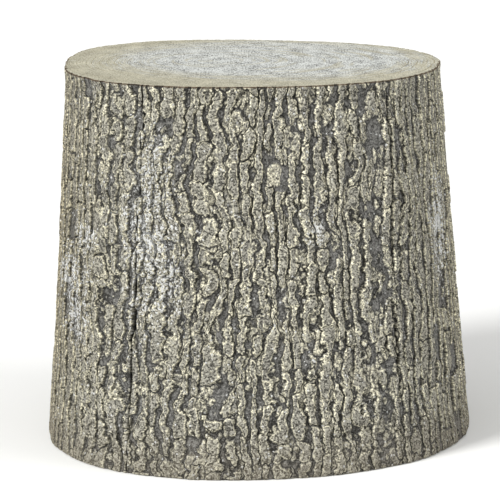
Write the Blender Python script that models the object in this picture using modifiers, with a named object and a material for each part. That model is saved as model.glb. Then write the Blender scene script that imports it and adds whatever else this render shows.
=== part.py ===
"""A short upright section of tree trunk: one solid log, sawn flat at both ends, standing on its wider end.

Metres, +Z up. The origin is the middle of the log's bounding box on the plane that it stands on.
"""

import math
from collections import namedtuple

import bmesh
import bpy

# Overall size, over the bark
LOG_HEIGHT = 0.400
BASE_RADIUS = 0.2430  # mean radius where it stands
TOP_RADIUS = 0.2080  # mean radius at the sawn top
WAIST_SAG = 0.0013  # how far the side falls inside a straight taper at mid height
TOP_LEAN = -0.0070  # how far the top's middle stands off the base's middle, along X

# Slow waves round the section, as a share of the radius: a trunk is never quite round
Lobe = namedtuple("Lobe", "waves direction at_base at_top")
LOBES = (
    Lobe(waves=2, direction=math.radians(83), at_base=0.028, at_top=0.000),
    Lobe(waves=3, direction=math.radians(3), at_base=0.026, at_top=0.028),
    Lobe(waves=4, direction=math.radians(43), at_base=0.017, at_top=0.026),
)

# Shallow upright hollows between the ridges of the bark; each set leans a little as it climbs
Flute = namedtuple("Flute", "waves depth start drift")
FLUTES = (
    Flute(waves=13, depth=0.0007, start=math.radians(40), drift=math.radians(50)),
    Flute(waves=21, depth=0.0005, start=math.radians(200), drift=math.radians(-65)),
    Flute(waves=29, depth=0.0004, start=math.radians(310), drift=math.radians(90)),
)

# The worn arris between bark and sawn wood, at both ends
RIM_WEAR = 0.0025
RIM_STEPS = 2
RIM_ANGLE = math.radians(50)

# Fineness of the mesh
SIDES = 160
LIFTS = 10
SMOOTH_ANGLE = math.radians(35)

# Finishes: linear colour and roughness
Finish = namedtuple("Finish", "name colour roughness")
BARK = Finish("weathered_bark", (0.233, 0.222, 0.184, 1.0), 0.95)
SAWN_WOOD = Finish("sawn_wood", (0.520, 0.480, 0.390, 1.0), 0.80)


def clear_scene():
    for obj in list(bpy.data.objects):
        bpy.data.objects.remove(obj, do_unlink=True)


def make_material(finish):
    material = bpy.data.materials.new(finish.name)
    material.use_nodes = True
    shader = material.node_tree.nodes["Principled BSDF"]
    shader.inputs["Base Color"].default_value = finish.colour
    shader.inputs["Roughness"].default_value = finish.roughness
    shader.inputs["Metallic"].default_value = 0.0
    material.diffuse_color = finish.colour
    return material


def trunk_radius(angle, climb):
    """Distance from the trunk's axis to the bark, at this angle and this share of the height."""
    radius = BASE_RADIUS + (TOP_RADIUS - BASE_RADIUS) * climb
    radius -= WAIST_SAG * 4 * climb * (1 - climb)
    for lobe in LOBES:
        share = lobe.at_base + (lobe.at_top - lobe.at_base) * climb
        radius *= 1 + share * math.cos(lobe.waves * (angle - lobe.direction))
    for flute in FLUTES:
        radius -= flute.depth * math.cos(flute.waves * angle + flute.start + flute.drift * climb)
    return radius


def shape_trunk(mesh):
    """Turns a round prism of unit radius, standing on z = 0, into the trunk."""
    for vert in mesh.verts:
        angle = math.atan2(vert.co.y, vert.co.x)
        climb = vert.co.z / LOG_HEIGHT
        radius = trunk_radius(angle, climb)
        vert.co.x = radius * math.cos(angle) + TOP_LEAN * climb
        vert.co.y = radius * math.sin(angle)


def centre_footprint(mesh):
    """Moves the middle of the bounding box onto the Z axis."""
    for axis in (0, 1):
        places = [vert.co[axis] for vert in mesh.verts]
        middle = (min(places) + max(places)) / 2
        for vert in mesh.verts:
            vert.co[axis] -= middle


def log_mesh(name):
    """One closed solid: a prism cut into lifts, moulded to the trunk's outline, with sawn ends."""
    shape = bmesh.new()
    bmesh.ops.create_cone(
        shape, cap_ends=True, segments=SIDES, radius1=1, radius2=1, depth=LOG_HEIGHT
    )
    bmesh.ops.translate(shape, verts=shape.verts, vec=(0, 0, LOG_HEIGHT / 2))
    uprights = [edge for edge in shape.edges if edge.verts[0].co.z != edge.verts[1].co.z]
    bmesh.ops.subdivide_edges(shape, edges=uprights, cuts=LIFTS - 1, use_grid_fill=True)
    shape_trunk(shape)
    centre_footprint(shape)
    bmesh.ops.recalc_face_normals(shape, faces=shape.faces)
    for face in shape.faces:
        is_sawn_end = len(face.verts) == SIDES
        face.material_index = 1 if is_sawn_end else 0
    mesh = bpy.data.meshes.new(name)
    shape.to_mesh(mesh)
    shape.free()
    return mesh


def make_log(collection):
    log = bpy.data.objects.new("log", log_mesh("log"))
    collection.objects.link(log)
    log.data.materials.append(make_material(BARK))
    log.data.materials.append(make_material(SAWN_WOOD))
    rim = log.modifiers.new("Worn rim", "BEVEL")
    rim.width = RIM_WEAR
    rim.segments = RIM_STEPS
    rim.limit_method = "ANGLE"
    rim.angle_limit = RIM_ANGLE
    rim.material = 0
    log.data.shade_smooth()
    log.data.set_sharp_from_angle(angle=SMOOTH_ANGLE)
    return log


def main():
    clear_scene()
    collection = bpy.data.collections.new("wood_log")
    bpy.context.scene.collection.children.link(collection)
    make_log(collection)


main()
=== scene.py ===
"""A wood log standing on its sawn base: its looks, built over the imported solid.

The trunk's outer form is read off the solid. A Geometry Nodes tree carves the bark's plates, furrows and
long cracks into a fine closed skin laid over that form. The bark's material lays the same pattern again, so
colour and relief fall in the same places. The two sawn ends are part of that skin, with their own finishes.
Lengths are in metres. A noise's scale is per metre: 1000 divided by the real size in millimetres.
"""

import logging
import math
from collections.abc import Mapping, Sequence
from dataclasses import dataclass
from enum import Enum
from functools import partial
from typing import NamedTuple

import bpy
import numpy as np
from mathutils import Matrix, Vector
from mathutils.bvhtree import BVHTree

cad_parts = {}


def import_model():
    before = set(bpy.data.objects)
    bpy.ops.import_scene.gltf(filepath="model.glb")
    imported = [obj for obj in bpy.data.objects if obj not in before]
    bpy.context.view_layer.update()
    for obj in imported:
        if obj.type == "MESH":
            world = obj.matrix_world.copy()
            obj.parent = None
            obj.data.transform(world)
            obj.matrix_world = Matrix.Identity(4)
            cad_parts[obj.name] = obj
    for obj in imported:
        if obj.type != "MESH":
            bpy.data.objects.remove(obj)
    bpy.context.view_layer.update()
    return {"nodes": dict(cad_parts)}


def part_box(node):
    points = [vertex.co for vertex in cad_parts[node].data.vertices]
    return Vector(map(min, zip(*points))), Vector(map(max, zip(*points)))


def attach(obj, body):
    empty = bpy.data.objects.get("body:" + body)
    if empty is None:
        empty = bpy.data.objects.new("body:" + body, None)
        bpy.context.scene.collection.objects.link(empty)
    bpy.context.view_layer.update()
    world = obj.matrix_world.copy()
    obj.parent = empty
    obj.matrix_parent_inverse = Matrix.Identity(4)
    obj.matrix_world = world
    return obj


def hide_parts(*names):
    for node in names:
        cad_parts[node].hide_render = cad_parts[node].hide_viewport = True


LOG = logging.getLogger("wood_log")

MM = 0.001
NODE = "log"
BODY = "root"

# The kinds of node that the trees use most; RANGE takes a value, the span it is in and the span it becomes
MATH = "ShaderNodeMath"
VECTOR = "ShaderNodeVectorMath"
RANGE = "ShaderNodeMapRange"
MIX = "ShaderNodeMix"
NOISE = "ShaderNodeTexNoise"
CELLS = "ShaderNodeTexVoronoi"
SPLIT = "ShaderNodeSeparateXYZ"
Socket = bpy.types.NodeSocket
NodeTree = bpy.types.NodeTree

# The girth circle that the bark's pattern is laid on, whatever the trunk's own radius at that height
PATTERN_RADIUS = 225 * MM


class Face(Enum):
    """The three faces of the skin, with the number each carries in the skin's face attribute."""

    BARK = 0
    SAWN_TOP = 1
    SAWN_BASE = 2


def linear(hex_colour: str) -> tuple[float, float, float, float]:
    """Turns an sRGB hex colour to linear.

    Args:
        hex_colour: Six hex digits, without a leading sign.

    Returns:
        Red, green, blue and an alpha of 1.
    """
    shares = [int(hex_colour[i : i + 2], 16) / 255 for i in (0, 2, 4)]
    red, green, blue = (s / 12.92 if s <= 0.04045 else ((s + 0.055) / 1.055) ** 2.4 for s in shares)
    return red, green, blue, 1.0


def add_node(
    tree: NodeTree,
    kind: str,
    inputs: Mapping[int | str, object] | Sequence[object] = (),
    output: int | str = 0,
    **settings: object,
) -> Socket:
    """Adds a node with its settings, and links or sets its inputs.

    Args:
        tree: The node tree that gets the node.
        kind: The node's type.
        inputs: A socket to link or a value to set for each input: in order, or by name or number.
        output: Which output is wanted.
        **settings: The node's own settings.

    Returns:
        The wanted output socket.
    """
    node = tree.nodes.new(kind)
    for name, value in settings.items():
        setattr(node, name, value)
    for key, value in inputs.items() if isinstance(inputs, Mapping) else enumerate(inputs):
        if isinstance(value, Socket):
            tree.links.new(value, node.inputs[key])
        else:
            node.inputs[key].default_value = value
    return node.outputs[output]


def matt_material(
    name: str, roughness: float, specular: float
) -> tuple[bpy.types.Material, bpy.types.Node]:
    """Makes a material without metal or a coat.

    Args:
        name: Its name.
        roughness: Its roughness.
        specular: Its specular level.

    Returns:
        The material and its shader.
    """
    material = bpy.data.materials.new(name)
    material.use_nodes = True
    shader = material.node_tree.nodes["Principled BSDF"]
    shader.inputs["Roughness"].default_value = roughness
    shader.inputs["Specular IOR Level"].default_value = specular
    return material, shader


def put_in_scene(name: str, data: bpy.types.ID) -> bpy.types.Object:
    """Adds an object to the scene.

    Args:
        name: Its name.
        data: Its mesh, camera or light.

    Returns:
        The object.
    """
    obj = bpy.data.objects.new(name, data)
    bpy.context.scene.collection.objects.link(obj)
    return obj


@dataclass(frozen=True)
class LongCrack:
    """A drying crack that runs up the trunk through the bark.

    Angles are in degrees round the trunk from the front, positive towards +X.
    """

    base_angle: float
    top_angle: float
    low: float
    high: float
    half_width: float
    depth: float
    seed: float


@dataclass(frozen=True)
class Patch:
    """An upright oval place on the bark: its angle in degrees from the front, height and half sizes."""

    angle: float
    height: float
    half_width: float
    half_height: float
    strength: float


class BarkFields(NamedTuple):
    """The sockets that the bark's pattern gives, all numbers but the last two."""

    relief: Socket
    edge: Socket
    foot: Socket
    lift: Socket
    tone: Socket
    crack: Socket
    unrolled: Socket
    around: Socket


@dataclass(frozen=True)
class PlateLayer:
    """One layer of bark plates: rounded islands that run together here and there, split by thin cracks.

    A plate's reach is its half width as a share of the layer's width; on_flanks changes it where the bark
    lies in narrow strips.
    """

    width: float
    tall: float
    reach: tuple[float, float]
    lift: tuple[float, float]
    on_flanks: float
    shift: float


@dataclass(frozen=True)
class ChainLayer:
    """A layer of bark plates stacked in upright chains, with a furrow between each chain and the next.

    Furrows and cross cracks are given by their half widths; they are shut where that is negative.
    """

    count: int
    tall: float
    sway: float
    furrow: tuple[float, float]
    crack: tuple[float, float]
    rounding: float
    lift: tuple[float, float]
    missing: float
    shift: float


@dataclass(frozen=True)
class BarkPattern:
    """Layered bark plates in upright chains, with long cracks.

    The pattern only reads the direction from the trunk's axis and the height, so a point keeps its place
    when the relief moves it in towards the axis.
    """

    height: float
    seed: float = 3.0
    depth: float = 4.5 * MM
    wall: float = 1.4 * MM
    # How finely each warp varies, and how far it moves the pattern in millimetres
    warps: tuple[tuple[float, tuple[float, float, float]], ...] = (
        (22.0, (20, 20, 20)),
        (75.0, (12, 12, 11)),
        (230.0, (5.5, 5.5, 5.5)),
    )
    # Width of the dark line of dirt and painted shade along the foot of a higher plate
    dirt_and_shade_band: float = 2.0 * MM
    full_step: float = 2.0 * MM
    swell: float = 2.0 * MM
    flush_rise: float = 2.5 * MM
    flush_reach: float = 12 * MM
    foot_reach: float = 45 * MM
    foot_relief: float = 0.45
    ragged_border: float = math.radians(24)
    crack_taper: float = 15 * MM
    crack_wander: float = 0.034
    low_plates: PlateLayer = PlateLayer(
        width=9.5 * MM,
        tall=27 * MM,
        reach=(0.34, 0.60),
        lift=(1.0 * MM, 2.4 * MM),
        on_flanks=-0.30,
        shift=0.31,
    )
    top_plates: ChainLayer = ChainLayer(
        count=100,
        tall=32 * MM,
        sway=23 * MM,
        furrow=(0.5 * MM, 4.0 * MM),
        crack=(-2.0 * MM, 1.8 * MM),
        rounding=5 * MM,
        lift=(2.2 * MM, 4.5 * MM),
        missing=0.08,
        shift=0.0,
    )
    strips: ChainLayer = ChainLayer(
        count=106,
        tall=42 * MM,
        sway=20 * MM,
        furrow=(-0.2 * MM, 3.0 * MM),
        crack=(-3 * MM, 2.0 * MM),
        rounding=3 * MM,
        lift=(2.0 * MM, 4.2 * MM),
        missing=0.05,
        shift=0.43,
    )
    # Middle and half width in degrees of the runs of strip bark, and of bark whose top plates are gone
    flanks: tuple[tuple[float, float], ...] = ((-74.0, 27.0), (80.0, 32.0))
    bare_runs: tuple[tuple[float, float], ...] = ((34.5, 3.5), (162.0, 4.0))
    cracks: tuple[LongCrack, ...] = (
        LongCrack(-32.8, -33.0, 10 * MM, 400 * MM, 0.9 * MM, 4.0 * MM, 1.7),
        LongCrack(-32.8, -33.0, 45 * MM, 205 * MM, 1.8 * MM, 5.0 * MM, 1.7),
        LongCrack(39.5, 41.5, 0 * MM, 385 * MM, 0.8 * MM, 3.5 * MM, 5.2),
        LongCrack(39.5, 41.5, 310 * MM, 370 * MM, 1.6 * MM, 5.0 * MM, 5.2),
        LongCrack(39.5, 41.5, 85 * MM, 140 * MM, 1.8 * MM, 5.0 * MM, 5.2),
        LongCrack(118.0, 109.0, 30 * MM, 400 * MM, 1.3 * MM, 5.0 * MM, 8.1),
        LongCrack(-131.0, -139.0, 0 * MM, 330 * MM, 1.2 * MM, 4.0 * MM, 12.6),
    )

    def lay(self, tree: NodeTree, place: Socket, depth: object, seed: object) -> BarkFields:
        """Adds the pattern's nodes to a tree of either kind.

        Args:
            tree: A geometry or shader node tree.
            place: The position socket that the pattern reads.
            depth: How far the furrows' floor lies below the highest plates, as a number or socket.
            seed: Which pattern of its kind it is, as a number or socket.

        Returns:
            The pattern's fields.
        """
        add = partial(add_node, tree)
        level = add(VECTOR, (place, (1, 1, 0)), operation="MULTIPLY")
        outward = add(VECTOR, (level,), operation="NORMALIZE")
        girth = add(VECTOR, {0: outward, "Scale": PATTERN_RADIUS}, operation="SCALE")
        upright = add(VECTOR, (place, (0, 0, 1)), operation="MULTIPLY")
        around = add(VECTOR, (girth, upright), operation="ADD")
        x, y, z = add(SPLIT, (place,)).node.outputs
        toward = add(MATH, (y, -1.0), operation="MULTIPLY")
        angle = add(MATH, (x, toward), operation="ARCTAN2")
        arc = add(MATH, (angle, PATTERN_RADIUS), operation="MULTIPLY")
        unrolled = add("ShaderNodeCombineXYZ", (arc, z))
        strip = self._share(tree, angle, around, self.flanks)
        bare = self._share(tree, angle, around, self.bare_runs)

        # The seed moves the pattern's origin
        origin = add("ShaderNodeCombineXYZ", (seed, seed, seed))
        drawn = add(VECTOR, (around, origin), operation="ADD")
        warp: object = (0.0, 0.0, 0.0)
        for scale, sway in self.warps:
            noise = add(NOISE, {"Vector": drawn, "Scale": scale, "Detail": 1.0}, "Color")
            centred = add(VECTOR, (noise, (0.5, 0.5, 0.5)), operation="SUBTRACT")
            moved = add(VECTOR, (centred, tuple(s * MM for s in sway)), operation="MULTIPLY")
            warp = add(VECTOR, (warp, moved), operation="ADD")
        # Strip bark runs straighter
        steady = add(MATH, (strip, -0.3, 1.0), operation="MULTIPLY_ADD")
        warp = add(VECTOR, {0: warp, "Scale": steady}, operation="SCALE")
        straight = add(VECTOR, (around, warp), operation="ADD")
        bent = add(VECTOR, (straight, origin), operation="ADD")

        # Where the cracks between touching plates stay closed, over some 18 mm
        closed = add(NOISE, {"Vector": drawn, "Scale": 55.0, "Detail": 2.0})
        closed = add(RANGE, (closed, 0.4, 0.6, -0.05, 0.2))

        lift: object = 0.0
        edge: object = -10 * MM
        tone: object = 0.5
        foot: object = 0.0
        unchained = add(MATH, (strip, bare), operation="MAXIMUM")
        chained = add(MATH, (1.0, unchained), operation="SUBTRACT")
        for own_edge, own_lift, own_tone in (
            self._chains(tree, straight, drawn, strip, self.strips),
            self._plates(tree, bent, closed, strip, self.low_plates),
            self._chains(tree, straight, drawn, chained, self.top_plates),
        ):
            wall = add(RANGE, {0: own_edge, 2: self.wall}, interpolation_type="SMOOTHSTEP")
            raised = add(MATH, (wall, own_lift), operation="MULTIPLY")
            over = add(MATH, (raised, lift), operation="GREATER_THAN")
            # Dirt and painted shade: a dark line painted along the foot of a plate that stands above what
            # is beside it, where its shade falls
            near = add(RANGE, (own_edge, -self.dirt_and_shade_band, 0.0), interpolation_type="SMOOTHSTEP")
            step = add(MATH, (own_lift, lift), operation="SUBTRACT")
            deep = add(RANGE, {0: step, 2: self.full_step})
            dirt_and_shade_line = add(MATH, (near, deep), operation="MULTIPLY")
            foot = add(MATH, (foot, dirt_and_shade_line), operation="MAXIMUM")
            foot, edge, tone = (
                add(MIX, {0: over, 2: beneath, 3: own}, data_type="FLOAT")
                for beneath, own in ((foot, 0.0), (edge, own_edge), (tone, own_tone))
            )
            lift = add(MATH, (raised, lift), operation="MAXIMUM")

        # The plates' faces swell and dip over some 9 mm
        swell = add(NOISE, {"Vector": drawn, "Scale": 110.0, "Detail": 2.0})
        swelled = add(MATH, (swell, self.swell, -self.swell / 2), operation="MULTIPLY_ADD")
        surface = add(MATH, (lift, swelled), operation="ADD")

        # At the saw cut the plates' outer faces reach the full outline, and the furrows still notch it
        flush = add(
            RANGE,
            {0: z, 1: self.height - self.flush_reach, 2: self.height, 4: self.flush_rise},
            interpolation_type="SMOOTHSTEP",
        )
        surface = add(MATH, (surface, flush), operation="ADD")
        surface = add(MATH, (surface, depth), operation="MINIMUM")
        sunk = add(MATH, (surface, depth), operation="SUBTRACT")

        # The bark is lower and finer towards the foot
        foot_thin = add(
            RANGE, {0: z, 2: self.foot_reach, 3: self.foot_relief}, interpolation_type="SMOOTHSTEP"
        )
        relief = add(MATH, (sunk, foot_thin), operation="MULTIPLY")

        crack_total: object = 0.0
        for crack in self.cracks:
            opened = self._crack(tree, angle, z, crack)
            relief = add(MATH, (opened, -crack.depth, relief), operation="MULTIPLY_ADD")
            crack_total = add(MATH, (crack_total, opened), operation="MAXIMUM")
        return BarkFields(relief, edge, foot, lift, tone, crack_total, unrolled, around)

    def _share(
        self, tree: NodeTree, angle: Socket, around: Socket, runs: tuple[tuple[float, float], ...]
    ) -> Socket:
        """Adds the share of some upright runs of bark: 1 within them, 0 elsewhere and a ragged border.

        Args:
            tree: The tree that gets the nodes.
            angle: The angle round the trunk, in radians from the front.
            around: The place on the girth circle.
            runs: The middle and half width of each run, in degrees.

        Returns:
            The share.
        """
        add = partial(add_node, tree)
        # The border wanders over some 60 mm
        ragged = add(NOISE, {"Vector": around, "Scale": 17.0, "Detail": 2.0})
        angle = add(MATH, (ragged, self.ragged_border, angle), operation="MULTIPLY_ADD")
        angle = add(MATH, (angle, self.ragged_border / 2), operation="SUBTRACT")
        share: object = 0.0
        for middle, half in runs:
            aside = add(MATH, (angle, math.radians(middle)), operation="SUBTRACT")
            away = add(MATH, (aside,), operation="ABSOLUTE")
            within = add(RANGE, (away, math.radians(0.8 * half), math.radians(1.2 * half), 1.0, 0.0))
            share = add(MATH, (share, within), operation="MAXIMUM")
        return share

    def _plates(
        self, tree: NodeTree, bent: Socket, closed: Socket, strip: Socket, layer: PlateLayer
    ) -> tuple[Socket, Socket, Socket]:
        """Adds one layer of plates.

        Args:
            tree: The tree that gets the nodes.
            bent: The place in the pattern.
            closed: How far the cracks between touching plates are closed.
            strip: The share of strip bark.
            layer: The layer's sizes.

        Returns:
            The distance inside the nearest plate's edge, negative outside it, and its lift and tone.
        """
        add = partial(add_node, tree)
        shifted = add(VECTOR, (bent, (layer.shift,) * 3), operation="ADD")
        scaled = add(
            VECTOR, (shifted, (1 / layer.width, 1 / layer.width, 1 / layer.tall)), operation="MULTIPLY"
        )
        nearest = add(
            CELLS, {"Vector": scaled, "Scale": 1.0, "Exponent": 3.0}, feature="F1", distance="MINKOWSKI"
        )
        chance = add(SPLIT, (nearest.node.outputs["Color"],))
        border = add(CELLS, {"Vector": scaled, "Scale": 1.0}, feature="DISTANCE_TO_EDGE")
        reach = add(RANGE, {0: chance, 3: layer.reach[0], 4: layer.reach[1]})
        reach = add(MATH, (strip, layer.on_flanks, reach), operation="MULTIPLY_ADD")
        inside = add(MATH, (reach, nearest), operation="SUBTRACT")
        split = add(MATH, (border, closed), operation="ADD")
        share = add(MATH, (inside, split), operation="MINIMUM")
        edge = add(MATH, (share, layer.width), operation="MULTIPLY")
        lift = add(RANGE, {0: chance.node.outputs[2], 3: layer.lift[0], 4: layer.lift[1]})
        return edge, lift, chance.node.outputs[1]

    def _chains(
        self, tree: NodeTree, straight: Socket, drawn: Socket, present: Socket, chains: ChainLayer
    ) -> tuple[Socket, Socket, Socket]:
        """Adds a layer of plates stacked in upright chains.

        Args:
            tree: The tree that gets the nodes.
            straight: The place on the girth circle, bent as the bark is.
            drawn: The place in the pattern, not bent.
            present: How far the layer is there at all, from 0 to 1.
            chains: The layer's sizes.

        Returns:
            The distance inside the nearest plate's edge, negative outside it, and its lift and tone.
        """
        add = partial(add_node, tree)
        pitch = 2 * math.pi * PATTERN_RADIUS / chains.count
        x, y, z = add(SPLIT, (straight,)).node.outputs
        toward = add(MATH, (y, -1.0), operation="MULTIPLY")
        angle = add(MATH, (x, toward), operation="ARCTAN2")
        # The chains' widths vary slowly: over some 30 mm round the trunk and 125 mm of height
        squeeze = add(VECTOR, (drawn, (34.0, 34.0, 8.0)), operation="MULTIPLY")
        squeeze = add(NOISE, {"Vector": squeeze, "Scale": 1.0, "Detail": 0.0})
        turn = add(MATH, (angle, chains.count / (2 * math.pi), chains.shift), operation="MULTIPLY_ADD")
        turn = add(MATH, (squeeze, chains.sway / pitch, turn), operation="MULTIPLY_ADD")
        turn = add(MATH, (turn, float(chains.count)), operation="FLOORED_MODULO")
        number = add(MATH, (turn,), operation="FLOOR")
        share = add(MATH, (turn,), operation="FRACT")
        other = add(MATH, (1.0, share), operation="SUBTRACT")
        aside = add(MATH, (share, other), operation="MINIMUM")
        # Each chain starts its plates at a height of its own
        draw = add("ShaderNodeTexWhiteNoise", {"W": number}, noise_dimensions="1D")
        start = add(MATH, (draw, 57.0), operation="MULTIPLY")
        climb = add(MATH, (z, 1 / chains.tall, start), operation="MULTIPLY_ADD")
        # Cross cracks slope a little and bow within the chain, over some 8 mm
        bow = add(NOISE, {"Vector": drawn, "Scale": 130.0, "Detail": 1.0})
        climb = add(MATH, (bow, 0.35, climb), operation="MULTIPLY_ADD")
        border = add(
            CELLS, {"W": climb, "Scale": 1.0}, voronoi_dimensions="1D", feature="DISTANCE_TO_EDGE"
        )
        plate = add(CELLS, {"W": climb, "Scale": 1.0}, voronoi_dimensions="1D", feature="F1")
        chance = add(SPLIT, (plate.node.outputs["Color"],))
        # Furrows open and close over some 24 mm
        open_noise = add(NOISE, {"Vector": drawn, "Scale": 42.0, "Detail": 1.0})
        furrow = add(RANGE, (open_noise, 0.3, 0.7, chains.furrow[0], chains.furrow[1]))
        crack = add(RANGE, {0: chance.node.outputs[2], 3: chains.crack[0], 4: chains.crack[1]})
        across = add(MATH, (aside, pitch), operation="MULTIPLY")
        across = add(MATH, (across, furrow), operation="SUBTRACT")
        along = add(MATH, (border, chains.tall), operation="MULTIPLY")
        along = add(MATH, (along, crack), operation="SUBTRACT")
        edge = add(MATH, (across, along, chains.rounding), operation="SMOOTH_MIN")
        gone = add(RANGE, (present, 0.0, 0.5, -12 * MM, 0.0))
        edge = add(MATH, (edge, gone), operation="ADD")
        lift = add(RANGE, {0: chance, 1: chains.missing, 3: chains.lift[0], 4: chains.lift[1]})
        there = add(MATH, (chance, chains.missing), operation="GREATER_THAN")
        lift = add(MATH, (lift, there), operation="MULTIPLY")
        return edge, lift, chance.node.outputs[1]

    def _crack(self, tree: NodeTree, angle: Socket, z: Socket, crack: LongCrack) -> Socket:
        """Adds one long crack.

        Args:
            tree: The tree that gets the nodes.
            angle: The angle round the trunk, in radians from the front.
            z: The height.
            crack: The crack.

        Returns:
            How open the crack is at this place, from 0 to 1.
        """
        add = partial(add_node, tree)
        course = add(
            RANGE,
            {0: z, 2: self.height, 3: math.radians(crack.base_angle), 4: math.radians(crack.top_angle)},
        )
        # It wanders over some 70 mm of height, and its gape changes over some 30 mm
        along = add(MATH, (z, 14.0, crack.seed), operation="MULTIPLY_ADD")
        wander = add(NOISE, {"W": along, "Scale": 1.0, "Detail": 3.0}, noise_dimensions="1D")
        swing = add(MATH, (wander, self.crack_wander, -self.crack_wander / 2), operation="MULTIPLY_ADD")
        middle = add(MATH, (course, swing), operation="ADD")
        aside = add(MATH, (angle, middle), operation="SUBTRACT")
        away = add(MATH, (aside,), operation="ABSOLUTE")
        gape_along = add(MATH, (z, 31.0, crack.seed), operation="MULTIPLY_ADD")
        gape = add(NOISE, {"W": gape_along, "Scale": 1.0, "Detail": 2.0}, noise_dimensions="1D")
        least, most = (share * crack.half_width / PATTERN_RADIUS for share in (0.6, 1.3))
        half = add(RANGE, (gape, 0.35, 0.65, least, most))
        inside = add(RANGE, {0: away, 2: half, 3: 1.0, 4: 0.0}, interpolation_type="SMOOTHSTEP")
        above = add(RANGE, (z, crack.low - self.crack_taper, crack.low))
        below = add(RANGE, (z, crack.high, crack.high + self.crack_taper, 1.0, 0.0))
        ranged = add(MATH, (above, below), operation="MULTIPLY")
        return add(MATH, (inside, ranged), operation="MULTIPLY")


@dataclass(frozen=True)
class WeatheredBark:
    """Weathered corky bark of an old trunk, grey-olive and dry.

    Its plates are matt and pitted with pale worn rims, and the furrows are slate grey and smoother.
    """

    pattern: BarkPattern
    name: str = "weathered_bark"
    floor: str = "7B7A76"
    plate_low: str = "77756E"
    plate_high: str = "999689"
    rim: str = "F0EACF"
    # Near black for the dirt and painted shade along the foot of higher plates
    dirt_and_shade: str = "24231F"
    # Near black painted into the long cracks as painted shade
    crack: str = "151412"
    chalk: str = "EDEEEC"
    earth: str = "7A6F5C"
    cut_edge: str = "55402A"
    stain_and_shade: tuple[float, float, float] = (0.66, 0.62, 0.55)
    stains_and_shade: tuple[Patch, ...] = (
        # The first patch darkens the left flank, where the key light falls strongest: painted shade
        Patch(-82, 200 * MM, 135 * MM, 300 * MM, 1.0),
        Patch(-58, 330 * MM, 30 * MM, 55 * MM, 0.5),
        Patch(76, 170 * MM, 90 * MM, 260 * MM, 0.4),
        Patch(170, 60 * MM, 160 * MM, 110 * MM, 0.6),
        Patch(-150, 330 * MM, 70 * MM, 90 * MM, 0.5),
    )
    patches: tuple[Patch, ...] = (
        Patch(-30, 250 * MM, 28 * MM, 92 * MM, 1.15),
        Patch(-24, 205 * MM, 16 * MM, 45 * MM, 1.0),
        Patch(-51, 236 * MM, 19 * MM, 14 * MM, 1.6),
        Patch(-60, 192 * MM, 42 * MM, 28 * MM, 1.2),
        Patch(-55, 147 * MM, 28 * MM, 27 * MM, 1.2),
        Patch(15.5, 255 * MM, 11 * MM, 20 * MM, 1.2),
        Patch(65, 235 * MM, 24 * MM, 55 * MM, 1.5),
        Patch(150, 120 * MM, 50 * MM, 60 * MM, 0.8),
        Patch(-170, 290 * MM, 35 * MM, 50 * MM, 0.6),
    )

    def material(self) -> bpy.types.Material:
        """Builds the material."""
        # Cork that the tree grew and the weather dried: matt all over, with hardly any gloss
        material, shader = matt_material(self.name, roughness=0.93, specular=0.25)
        tree = material.node_tree
        add = partial(add_node, tree)
        place = add("ShaderNodeTexCoord", output="Object")
        fields = self.pattern.lay(tree, place, self.pattern.depth, self.pattern.seed)
        z = add(SPLIT, (place,), "Z")

        # Corky grains and pits, drawn about 1.6 mm across, somewhat coarser than real so that they show
        grain = add(CELLS, {"Vector": fields.around, "Scale": 620.0}, feature="F1")
        grain_tone = add(SPLIT, (grain.node.outputs["Color"],))
        pits = add(NOISE, {"Vector": fields.around, "Scale": 620.0, "Detail": 1.5, "Roughness": 0.8})
        # Plates that stand higher are paler
        height_tone = add(RANGE, {0: fields.lift, 1: 1 * MM, 2: 5 * MM, 4: 0.6})
        toned = add(MATH, (fields.tone, 0.5, height_tone), operation="MULTIPLY_ADD")
        plate_colour = add(
            MIX, {0: toned, 6: linear(self.plate_low), 7: linear(self.plate_high)}, 2, data_type="RGBA"
        )
        on_plate = add(RANGE, {0: fields.edge, 2: 1.0 * MM})
        colour = add(MIX, {0: on_plate, 6: linear(self.floor), 7: plate_colour}, 2, data_type="RGBA")
        # The worn rim just inside each plate's edge
        inner = add(RANGE, (fields.edge, 1.3 * MM, 2.5 * MM, 1.0, 0.0))
        high = add(RANGE, (fields.lift, 1 * MM, 3 * MM, 0.6))
        rim = add(MATH, (on_plate, inner), operation="MULTIPLY")
        rim = add(MATH, (rim, high), operation="MULTIPLY")
        trodden = add(RANGE, {0: z, 2: 70 * MM, 3: 0.5})
        rim = add(MATH, (rim, trodden), operation="MULTIPLY")
        broken = add(RANGE, (pits, 0.34, 0.54, 0.4))
        rim_broken = add(MATH, (rim, broken), operation="MULTIPLY")
        # Light and dark grains, quieter in the furrows and on the rims
        rough = add(MATH, (grain_tone, 0.5, pits), operation="MULTIPLY_ADD")
        grains = add(RANGE, (rough, 0.52, 0.98, 0.2, 2.15))
        floor_grains = add(RANGE, (rough, 0.5, 1.0, 0.4, 1.65))
        grains = add(MIX, {0: on_plate, 2: floor_grains, 3: grains}, data_type="FLOAT")
        colour = add(VECTOR, {0: colour, "Scale": grains}, operation="SCALE")
        rim_colour = add(VECTOR, {0: linear(self.rim)[:3], "Scale": floor_grains}, operation="SCALE")
        colour = add(MIX, {0: rim_broken, 6: colour, 7: rim_colour}, 2, data_type="RGBA")
        # Stains darken the bark here and there; on the left flank this darkening is painted shade
        stained_and_shaded = add(VECTOR, (colour, self.stain_and_shade), operation="MULTIPLY")
        colour = add(
            MIX, {0: self._cover(tree, fields, self.stains_and_shade), 6: colour, 7: stained_and_shaded}, 2, data_type="RGBA"
        )
        colour = self._chalk(tree, colour, fields)
        colour = self._soil(tree, colour, z)
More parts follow.
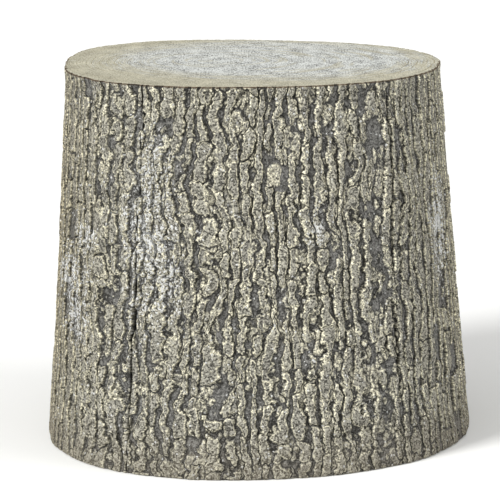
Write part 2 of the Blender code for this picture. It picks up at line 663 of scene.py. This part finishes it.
        # Dirt and painted shade darken the foot of each plate that stands above its neighbour
        dirt_and_shade_share = add(MATH, (fields.foot, 0.92), operation="MULTIPLY")
        colour = add(MIX, {0: dirt_and_shade_share, 6: colour, 7: linear(self.dirt_and_shade)}, 2, data_type="RGBA")
        # The long cracks' insides are painted near black: painted shade
        colour = add(MIX, {0: fields.crack, 6: colour, 7: linear(self.crack)}, 2, data_type="RGBA")
        tree.links.new(colour, shader.inputs["Base Color"])
        height = add(MATH, (fields.relief, 1.4 / MM), operation="MULTIPLY")
        height = add(MATH, (rough, 4.0, height), operation="MULTIPLY_ADD")
        bump = add("ShaderNodeBump", {"Strength": 1.0, "Distance": 1 * MM, "Height": height})
        tree.links.new(bump, shader.inputs["Normal"])
        return material

    @staticmethod
    def _cover(tree: NodeTree, fields: BarkFields, patches: tuple[Patch, ...]) -> Socket:
        """Adds the cover of some patches, which fades out towards the rim of each.

        Args:
            tree: The material's tree.
            fields: The bark's fields.
            patches: The patches.

        Returns:
            The cover, from 0 to 1.
        """
        add = partial(add_node, tree)
        cover: object = 0.0
        for patch in patches:
            centre = (math.radians(patch.angle) * PATTERN_RADIUS, patch.height, 0.0)
            away = add(VECTOR, (fields.unrolled, centre), operation="SUBTRACT")
            shared = add(
                VECTOR, (away, (1 / patch.half_width, 1 / patch.half_height, 0.0)), operation="MULTIPLY"
            )
            far = add(VECTOR, (shared,), 1, operation="LENGTH")
            near = add(RANGE, (far, 0.2, 1.3, patch.strength, 0.0))
            cover = add(MATH, (cover, near), operation="MAXIMUM")
        return cover

    def _chalk(self, tree: NodeTree, colour: Socket, fields: BarkFields) -> Socket:
        """Adds the whitish lichen crust in its patches.

        Args:
            tree: The material's tree.
            colour: The colour under the crust.
            fields: The bark's fields.

        Returns:
            The colour with the crust on it.
        """
        add = partial(add_node, tree)
        cover = self._cover(tree, fields, self.patches)
        # Crust specks, drawn about 1.7 mm across so that they show, in clumps of some 10 mm
        clump = add(NOISE, {"Vector": fields.around, "Scale": 95.0, "Detail": 2.0, "Roughness": 0.7})
        clumped = add(RANGE, (clump, 0.35, 0.65, 0.1, 1.5))
        specks = add(CELLS, {"Vector": fields.around, "Scale": 600.0}, "Color", feature="F1")
        speck = add(SPLIT, (specks,), "Z")
        thick = add(MATH, (cover, clumped), operation="MULTIPLY")
        thick = add(MATH, (thick, 0.5, 0.012), operation="MULTIPLY_ADD")
        over = add(MATH, (speck, thick), operation="LESS_THAN")
        shown = add(MATH, (over, 0.85), operation="MULTIPLY")
        return add(MIX, {0: shown, 6: colour, 7: linear(self.chalk)}, 2, data_type="RGBA")

    def _soil(self, tree: NodeTree, colour: Socket, z: Socket) -> Socket:
        """Adds the brown stain near the ground and the dark cut edge of the bark at the top.

        Args:
            tree: The material's tree.
            colour: The colour so far.
            z: The height.

        Returns:
            The stained colour.
        """
        add = partial(add_node, tree)
        low = add(RANGE, (z, 5 * MM, 60 * MM, 0.35, 0.0))
        colour = add(MIX, {0: low, 6: colour, 7: linear(self.earth)}, 2, data_type="RGBA")
        high = add(
            RANGE, {0: z, 1: self.pattern.height - 2.0 * MM, 2: self.pattern.height - 0.8 * MM, 4: 0.85}
        )
        return add(MIX, {0: high, 6: colour, 7: linear(self.cut_edge)}, 2, data_type="RGBA")


@dataclass(frozen=True)
class SawnWood:
    """End grain of a hardwood, sawn across: pale, dry and matt, with a ring for each year's growth.

    The pith stands off the middle, so the rings are crowded on one side and wide on the other. The middle
    has dried to a chalky white with a ragged edge that follows the rings.
    """

    name: str
    radius: float
    sapwood: str = "B0AC99"
    latewood: str = "7C7459"
    bleached: str = "BDBFBB"
    speck: str = "6E6E6A"
    pale: str = "C9C7BB"
    pith: tuple[float, float] = (-62 * MM, 12 * MM)
    years: float = 74.0
    white_middle: tuple[float, float] = (9 * MM, 24 * MM)
    white_half: tuple[float, float] = (157 * MM, 160 * MM)
    whiteness: float = 1.0

    def material(self) -> bpy.types.Material:
        """Builds the material."""
        # Hardwood sawn across and left to dry: torn fibre ends, matt with a faint sheen
        material, shader = matt_material(self.name, roughness=0.85, specular=0.3)
        tree = material.node_tree
        add = partial(add_node, tree)
        place = add("ShaderNodeTexCoord", output="Object")
        level = add(VECTOR, (place, (1, 1, 0)), operation="MULTIPLY")
        years = self._years(tree, level)
        share = add(MATH, (years,), operation="FRACT")
        year = add(MATH, (years,), operation="FLOOR")
        strength = add("ShaderNodeTexWhiteNoise", {"W": year}, noise_dimensions="1D")
        late = add(RANGE, (share, 0.45, 0.9), interpolation_type="SMOOTHSTEP")
        ring = add(MATH, (late, strength), operation="MULTIPLY")
        colour = add(
            MIX, {0: ring, 6: linear(self.sapwood), 7: linear(self.latewood)}, 2, data_type="RGBA"
        )
        white = self._white(tree, level, years, late)
        colour = add(MIX, {0: white, 6: colour, 7: linear(self.bleached)}, 2, data_type="RGBA")
        # The saw's marks run front to back, 1.6 mm apart and some 10 mm long
        drawn_out = add(VECTOR, (level, (620, 100, 1)), operation="MULTIPLY")
        marks = add(NOISE, {"Vector": drawn_out, "Scale": 1.0, "Detail": 1.5, "Roughness": 0.8})
        # They are deeper here and there, over some 17 by 30 mm
        coarse = add(VECTOR, (level, (60, 34, 1)), operation="MULTIPLY")
        coarse = add(NOISE, {"Vector": coarse, "Scale": 1.0, "Detail": 1.0})
        rough = add(MATH, (coarse, 0.4, marks), operation="MULTIPLY_ADD")
        fleck = add(RANGE, {0: rough, 1: 0.72, 2: 0.46, 4: 0.95})
        fleck = add(MATH, (fleck, white), operation="MULTIPLY")
        colour = add(MIX, {0: fleck, 6: colour, 7: linear(self.speck)}, 2, data_type="RGBA")
        shading = add(RANGE, (rough, 0.45, 0.95, 0.62, 1.38))
        colour = add(VECTOR, {0: colour, "Scale": shading}, operation="SCALE")
        colour = self._dashes(tree, level, colour)
        tree.links.new(colour, shader.inputs["Base Color"])
        bump = add("ShaderNodeBump", {"Strength": 0.6, "Distance": 0.6 * MM, "Height": rough})
        tree.links.new(bump, shader.inputs["Normal"])
        return material

    def _years(self, tree: NodeTree, level: Socket) -> Socket:
        """Adds the count of years from the pith out.

        The rings are circles whose middles move from the pith to the trunk's axis as they widen, so that
        the outermost fits the outline: the share of the way out is the positive root of a quadratic.

        Args:
            tree: The material's tree.
            level: The place on the face.

        Returns:
            The number of years, with a fraction.
        """
        add = partial(add_node, tree)
        pith = Vector((*self.pith, 0.0))
        spare = self.radius**2 - pith.length_squared
        off = add(VECTOR, (level, pith), operation="SUBTRACT")
        along = add(VECTOR, (off, pith), "Value", operation="DOT_PRODUCT")
        square = add(VECTOR, (off, off), "Value", operation="DOT_PRODUCT")
        along_square = add(MATH, (along, along), operation="MULTIPLY")
        inner = add(MATH, (square, spare, along_square), operation="MULTIPLY_ADD")
        root = add(MATH, (inner,), operation="SQRT")
        total = add(MATH, (root, along), operation="ADD")
        years = add(MATH, (total, self.years / spare), operation="MULTIPLY")
        # The rings wave over some 60 mm, by the width of two or three years
        wavy = add(NOISE, {"Vector": level, "Scale": 16.0, "Detail": 2.0})
        return add(MATH, (wavy, 4.5, years), operation="MULTIPLY_ADD")

    def _white(self, tree: NodeTree, level: Socket, years: Socket, late: Socket) -> Socket:
        """Adds the cover of the whitened middle.

        Args:
            tree: The material's tree.
            level: The place on the face.
            years: The count of years from the pith.
            late: The share of dense late wood, which whitens less.

        Returns:
            The cover, from 0 to 1.
        """
        add = partial(add_node, tree)
        off = add(VECTOR, (level, (*self.white_middle, 0.0)), operation="SUBTRACT")
        shared = add(
            VECTOR, (off, (1 / self.white_half[0], 1 / self.white_half[1], 0.0)), operation="MULTIPLY"
        )
        far = add(VECTOR, (shared,), "Value", operation="LENGTH")
        # Ragged along the rings: quick to change from ring to ring, and over some 40 mm along them
        outwards = add("ShaderNodeCombineXYZ", {2: years})
        ragged_place = add(VECTOR, (level, (24.0, 24.0, 0.0)), operation="MULTIPLY")
        ragged_place = add(VECTOR, (outwards, (0.0, 0.0, 0.8), ragged_place), operation="MULTIPLY_ADD")
        ragged = add(NOISE, {"Vector": ragged_place, "Scale": 1.0, "Detail": 2.0})
        inside = add(MATH, (1.0, far), operation="SUBTRACT")
        reach = add(MATH, (ragged, 0.9, inside), operation="MULTIPLY_ADD")
        reach = add(MATH, (late, -0.16, reach), operation="MULTIPLY_ADD")
        cover = add(RANGE, {0: reach, 1: 0.28, 2: 0.5, 4: self.whiteness})
        # Tan arcs, some 90 mm long, where a ring has kept its colour
        arc_place = add(VECTOR, (level, (11.0, 11.0, 0.0)), operation="MULTIPLY")
        arc_place = add(VECTOR, (outwards, (0.0, 0.0, 0.4), arc_place), operation="MULTIPLY_ADD")
        arcs = add(NOISE, {"Vector": arc_place, "Scale": 1.0, "Detail": 1.0})
        kept = add(RANGE, (arcs, 0.55, 0.65, 1.0, 0.25))
        return add(MATH, (cover, kept), operation="MULTIPLY")

    def _dashes(self, tree: NodeTree, level: Socket, colour: Socket) -> Socket:
        """Adds a few short pale splinters.

        Args:
            tree: The material's tree.
            level: The place on the face.
            colour: The colour under them.

        Returns:
            The colour with the splinters on it.
        """
        add = partial(add_node, tree)
        # Splinters lie 26 by 14 mm apart, and three places in ten have one
        cells = add(VECTOR, (level, (38.0, 70.0, 1.0)), operation="MULTIPLY")
        near = add(CELLS, {"Vector": cells, "Scale": 1.0}, feature="F1")
        chance = add(SPLIT, (near.node.outputs["Color"],))
        lucky = add(MATH, (chance, 0.3), operation="LESS_THAN")
        close = add(RANGE, (near, 0.16, 0.1))
        shown = add(MATH, (lucky, close), operation="MULTIPLY")
        shown = add(MATH, (shown, 0.8), operation="MULTIPLY")
        return add(MIX, {0: shown, 6: colour, 7: linear(self.pale)}, 2, data_type="RGBA")


@dataclass
class TrunkForm:
    """The trunk's outer form, read off the CAD solid as the distance from the axis to its surface."""

    solid: bpy.types.Mesh
    columns: int = 1200
    rows: int = 210
    probes_round: int = 360
    probes_up: int = 25
    probe_margin: float = 4 * MM
    facet_blur: int = 4

    def __post_init__(self) -> None:
        """Reads the solid."""
        self.low, self.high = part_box(NODE)
        tree = BVHTree.FromPolygons(
            [vert.co for vert in self.solid.vertices],
            [tuple(face.vertices) for face in self.solid.polygons],
        )
        self.probe_heights = np.linspace(
            self.low.z + self.probe_margin, self.high.z - self.probe_margin, self.probes_up
        )
        turns = np.linspace(0, 2 * np.pi, self.probes_round, endpoint=False)
        reach = np.empty((self.probes_up, self.probes_round))
        for i, height in enumerate(self.probe_heights):
            for j, turn in enumerate(turns):
                ray = Vector((math.cos(turn), math.sin(turn), 0.0))
                reach[i, j] = tree.ray_cast(Vector((0.0, 0.0, height)), ray)[3]
        # A running mean rounds the solid's flat sides
        steps = range(-self.facet_blur, self.facet_blur + 1)
        reach = sum(np.roll(reach, step, axis=1) for step in steps) / len(steps)
        self.turns = np.linspace(0, 2 * np.pi, self.columns, endpoint=False)
        self.reach = np.stack([np.interp(self.turns, turns, row, period=2 * np.pi) for row in reach])

    def radius(self, heights: np.ndarray) -> np.ndarray:
        """The radius at one height for each column.

        Args:
            heights: The height at each column.

        Returns:
            The radius at each column.
        """
        place = np.interp(heights, self.probe_heights, np.arange(self.probes_up))
        below = np.minimum(place.astype(int), self.probes_up - 2)
        share = place - below
        column = np.arange(self.columns)
        return self.reach[below, column] * (1 - share) + self.reach[below + 1, column] * share


@dataclass
class Log:
    """The whole log: one closed skin of bark and two sawn ends."""

    form: TrunkForm
    rim_wear: float = 1.2 * MM
    shoulder: float = 2.4 * MM
    shoulder_height: float = 16 * MM
    shoulder_angle: float = math.radians(-20)
    shoulder_spread: float = math.radians(28)
    foot_wear: float = 1.5 * MM
    arris_rings: int = 6
    # How far round the rim's worn arris the bark ends
    bark_end: float = math.radians(60)
    cap_rings: tuple[float, ...] = (0.12, 0.4, 0.7)
    carve_inset: float = 16 * MM
    most_triangles: int = 190_000
    level_normal: float = 0.995

    def rings(self) -> tuple[list[np.ndarray], list[Face], list[float]]:
        """Works out the skin's rings, from the middle of the base up and over to the middle of the top.

        Returns:
            Each ring's points, the face that starts there, and how far the bark's relief reaches there.
        """
        form, rings, faces, carve = self.form, [], [], []
        bottom, top = form.low.z, form.high.z
        offset = np.angle(np.exp(1j * (form.turns - self.shoulder_angle)))
        drawn_in = self.shoulder * np.exp(-((offset / self.shoulder_spread) ** 2))

        def put(inset: np.ndarray, heights: np.ndarray, face: Face, share: float) -> None:
            """Adds a ring.

            Args:
                inset: How far each point lies inside the outline.
                heights: Each point's height.
                face: The face that starts there.
                share: How far the bark's relief reaches there.
            """
            near_top = np.clip(1 - (top - heights) / self.shoulder_height, 0, 1)
            radius = form.radius(heights) - inset - drawn_in * near_top**2
            rings.append(
                np.stack([radius * np.cos(form.turns), radius * np.sin(form.turns), heights], axis=1)
            )
            faces.append(face)
            carve.append(share)

        flat = np.ones(form.columns)
        for share in self.cap_rings:
            put(form.radius(flat * bottom) * (1 - share), flat * bottom, Face.SAWN_BASE, 0.0)
        put(flat * self.carve_inset, flat * bottom, Face.SAWN_BASE, 0.0)
        quarter = np.linspace(0, np.pi / 2, self.arris_rings)
        for turn in quarter:
            inset = self.foot_wear * (1 - np.sin(turn)) * flat
            rise = self.foot_wear * (1 - np.cos(turn))
            put(inset, flat * (bottom + rise), Face.BARK, 1.0)
        wear = self.rim_wear * flat
        start, end = bottom + self.foot_wear, top - wear
        for share in np.linspace(0, 1, form.rows)[1:]:
            put(flat * 0.0, start + (end - start) * share, Face.BARK, 1.0)
        for turn in quarter[1:]:
            face = Face.BARK if turn < self.bark_end else Face.SAWN_TOP
            put(wear * (1 - np.cos(turn)), end + wear * np.sin(turn), face, 1.0)
        put(self.carve_inset + wear, flat * top, Face.SAWN_TOP, 0.0)
        for share in reversed(self.cap_rings):
            put(form.radius(flat * top) * (1 - share), flat * top, Face.SAWN_TOP, 0.0)
        return rings, faces, carve

    def skin(self) -> bpy.types.Object:
        """Builds the smooth closed skin, before the bark is carved.

        Returns:
            The object, with the attributes that the carving reads.
        """
        form = self.form
        rings, faces, carve = self.rings()
        count, columns = len(rings), form.columns
        points = np.concatenate([*rings, [(0, 0, form.low.z), (0, 0, form.high.z)]])
        column = np.arange(columns)
        after = (column + 1) % columns
        quads, kinds = [], []
        for i in range(count - 1):
            here, above = i * columns, (i + 1) * columns
            quads.append(np.stack([here + column, here + after, above + after, above + column], axis=1))
            kinds.append(np.full(columns, faces[i].value))
        foot, head = count * columns, count * columns + 1
        last = (count - 1) * columns
        fans = np.concatenate(
            [
                np.stack([np.full(columns, foot), after, column], axis=1),
                np.stack([np.full(columns, head), last + column, last + after], axis=1),
            ]
        )
        kinds += [np.full(columns, Face.SAWN_BASE.value), np.full(columns, Face.SAWN_TOP.value)]
        mesh = bpy.data.meshes.new("skin")
        mesh.from_pydata(points.tolist(), [], np.concatenate(quads).tolist() + fans.tolist())
        kind = mesh.attributes.new("face", "INT", "FACE")
        kind.data.foreach_set("value", np.concatenate(kinds).astype(np.int32))
        reach = mesh.attributes.new("carve", "FLOAT", "POINT")
        reach.data.foreach_set(
            "value", np.concatenate([np.repeat(carve, columns), [0, 0]]).astype(np.float32)
        )
        return put_in_scene("skin", mesh)

    def carving_tree(self, pattern: BarkPattern, finishes: Mapping[Face, bpy.types.Material]) -> NodeTree:
        """Builds the Geometry Nodes tree that carves the bark.

        Args:
            pattern: The bark's pattern.
            finishes: The material of each face.

        Returns:
            The tree, with inputs Depth and Seed.
        """
        tree = bpy.data.node_groups.new("carve_bark", "GeometryNodeTree")
        add = partial(add_node, tree)
        for name, kind in (("Geometry", "Geometry"), ("Depth", "Float"), ("Seed", "Float")):
            tree.interface.new_socket(name, in_out="INPUT", socket_type=f"NodeSocket{kind}")
        tree.interface.new_socket("Geometry", in_out="OUTPUT", socket_type="NodeSocketGeometry")
        geometry = add("NodeGroupInput")
        _, depth, seed, _ = geometry.node.outputs
        place = add("GeometryNodeInputPosition")
        fields = pattern.lay(tree, place, depth, seed)
        reach = add("GeometryNodeInputNamedAttribute", {"Name": "carve"}, data_type="FLOAT")
        sunk = add(MATH, (fields.relief, reach), operation="MULTIPLY")
        level = add(VECTOR, (place, (1, 1, 0)), operation="MULTIPLY")
        outward = add(VECTOR, (level,), operation="NORMALIZE")
        offset = add(VECTOR, {0: outward, "Scale": sunk}, operation="SCALE")
        geometry = add("GeometryNodeSetPosition", {"Geometry": geometry, "Offset": offset})
        geometry = add("GeometryNodeRealizeInstances", {"Geometry": geometry})
        face = add("GeometryNodeInputNamedAttribute", {"Name": "face"}, data_type="INT")
        for which, material in finishes.items():
            chosen = add(
                "FunctionNodeCompare", {2: face, 3: which.value}, data_type="INT", operation="EQUAL"
            )
            geometry = add(
                "GeometryNodeSetMaterial",
                {"Geometry": geometry, "Selection": chosen, "Material": material},
            )
        result = tree.nodes.new("NodeGroupOutput")
        tree.links.new(geometry, result.inputs[0])
        return tree

    def build(self) -> bpy.types.Object:
        """Carves, thins and dresses the log.

        Returns:
            The finished piece.
        """
        pattern = BarkPattern(height=self.form.high.z)
        every = np.ones(self.form.columns)
        top_radius = float(self.form.radius(every * self.form.high.z).mean())
        base_radius = float(self.form.radius(every * self.form.low.z).mean())
        finishes = {
            Face.BARK: WeatheredBark(pattern).material(),
            Face.SAWN_TOP: SawnWood("sawn_end_grain", top_radius).material(),
            Face.SAWN_BASE: SawnWood(
                "sawn_butt", base_radius, sapwood="A39B84", latewood="857A5E", whiteness=0.15
            ).material(),
        }
        skin = self.skin()
        for finish in finishes.values():
            skin.data.materials.append(finish)
        tree = self.carving_tree(pattern, finishes)
        modifier = skin.modifiers.new("Carve bark", "NODES")
        modifier.node_group = tree
        sizes = {"Depth": pattern.depth, "Seed": pattern.seed}
        for item in tree.interface.items_tree:
            if item.in_out == "INPUT" and item.name in sizes:
                modifier[item.identifier] = sizes[item.name]
        carved = self._applied(skin, "carved")
        triangles = sum(len(face.vertices) - 2 for face in carved.data.polygons)
        thin = carved.modifiers.new("Thin", "DECIMATE")
        thin.ratio = min(1.0, self.most_triangles / triangles)
        log = self._applied(carved, "log_with_bark")
        # Thinning may lift a corner past the saw cuts by some hundredths of a millimetre
        for vert in log.data.vertices:
            vert.co.z = min(max(vert.co.z, self.form.low.z), self.form.high.z)
        for face in log.data.polygons:
            face.use_smooth = abs(face.normal.z) < self.level_normal
        return log

    @staticmethod
    def _applied(obj: bpy.types.Object, name: str) -> bpy.types.Object:
        """Replaces an object by a plain one with its modifiers applied.

        Args:
            obj: The object, which is removed.
            name: The new object's name.

        Returns:
            The plain object.
        """
        graph = bpy.context.evaluated_depsgraph_get()
        mesh = bpy.data.meshes.new_from_object(obj.evaluated_get(graph))
        mesh.name = name
        bpy.data.objects.remove(obj, do_unlink=True)
        return put_in_scene(name, mesh)


@dataclass(frozen=True)
class Studio:
    """A pale floor, soft lights and the camera."""

    camera_distance: float = 3.163
    camera_height: float = 0.801
    aim: tuple[float, float, float] = (-0.0107, 0.0, 0.1931)
    lens: float = 212.2
    # Each lamp's name, azimuth, elevation, spread and strength
    lamps: tuple[tuple[str, float, float, float, float], ...] = (
        ("key", -50, 31, 18, 3.2),
        ("fill", 72, 22, 40, 1.2),
        ("overhead", 0, 78, 60, 0.95),
    )
    world_strength: float = 0.3
    floor_half: float = 30.0
    floor_drop: float = 0.5 * MM

    def build(self) -> None:
        """Sets up the camera, the lights, the world and the floor."""
        scene = bpy.context.scene
        scene.view_settings.view_transform = "Standard"
        data = bpy.data.cameras.new("camera")
        data.lens = self.lens
        data.sensor_width = 36.0
        data.clip_end = 100.0
        camera = put_in_scene("camera", data)
        aim = Vector(self.aim)
        camera.location = (aim.x, -self.camera_distance, self.camera_height)
        camera.rotation_euler = (aim - camera.location).to_track_quat("-Z", "Y").to_euler()
        scene.camera = camera

        world = bpy.data.worlds.new("studio")
        world.use_nodes = True
        background = world.node_tree.nodes["Background"]
        background.inputs["Color"].default_value = (1.0, 1.0, 1.0, 1.0)
        background.inputs["Strength"].default_value = self.world_strength
        scene.world = world

        for lamp in self.lamps:
            self._lamp(*lamp)

        half = self.floor_half
        mesh = bpy.data.meshes.new("floor")
        corners = [(-half, -half), (half, -half), (half, half), (-half, half)]
        mesh.from_pydata([(x, y, -self.floor_drop) for x, y in corners], [], [(0, 1, 2, 3)])
        floor = put_in_scene("floor", mesh)
        # Uncoated paper off a roll: nearly white and quite without gloss
        material, shader = matt_material("studio_paper", roughness=1.0, specular=0.0)
        shader.inputs["Base Color"].default_value = linear("F2F2F0")
        mesh.materials.append(material)

    @staticmethod
    def _lamp(name: str, azimuth: float, elevation: float, spread: float, strength: float) -> None:
        """Adds a broad soft light from far off.

        Args:
            name: Its name.
            azimuth: Where it comes from, in degrees from the front towards +X.
            elevation: Its height in degrees.
            spread: How wide it looks in degrees.
            strength: Its strength in watts for each square metre.
        """
        data = bpy.data.lights.new(name, "SUN")
        data.energy = strength
        data.angle = math.radians(spread)
        lamp = put_in_scene(name, data)
        lamp.rotation_euler = (math.radians(90 - elevation), 0.0, math.radians(azimuth))


def main() -> None:
    """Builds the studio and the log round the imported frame."""
    logging.basicConfig(level=logging.INFO, format="%(name)s: %(message)s")
    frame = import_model()
    Studio().build()
    log = Log(TrunkForm(frame["nodes"][NODE].data)).build()
    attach(log, BODY)
    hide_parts(NODE)
    LOG.info("%s: %d faces", log.name, len(log.data.polygons))


if __name__ == "__main__":
    main()
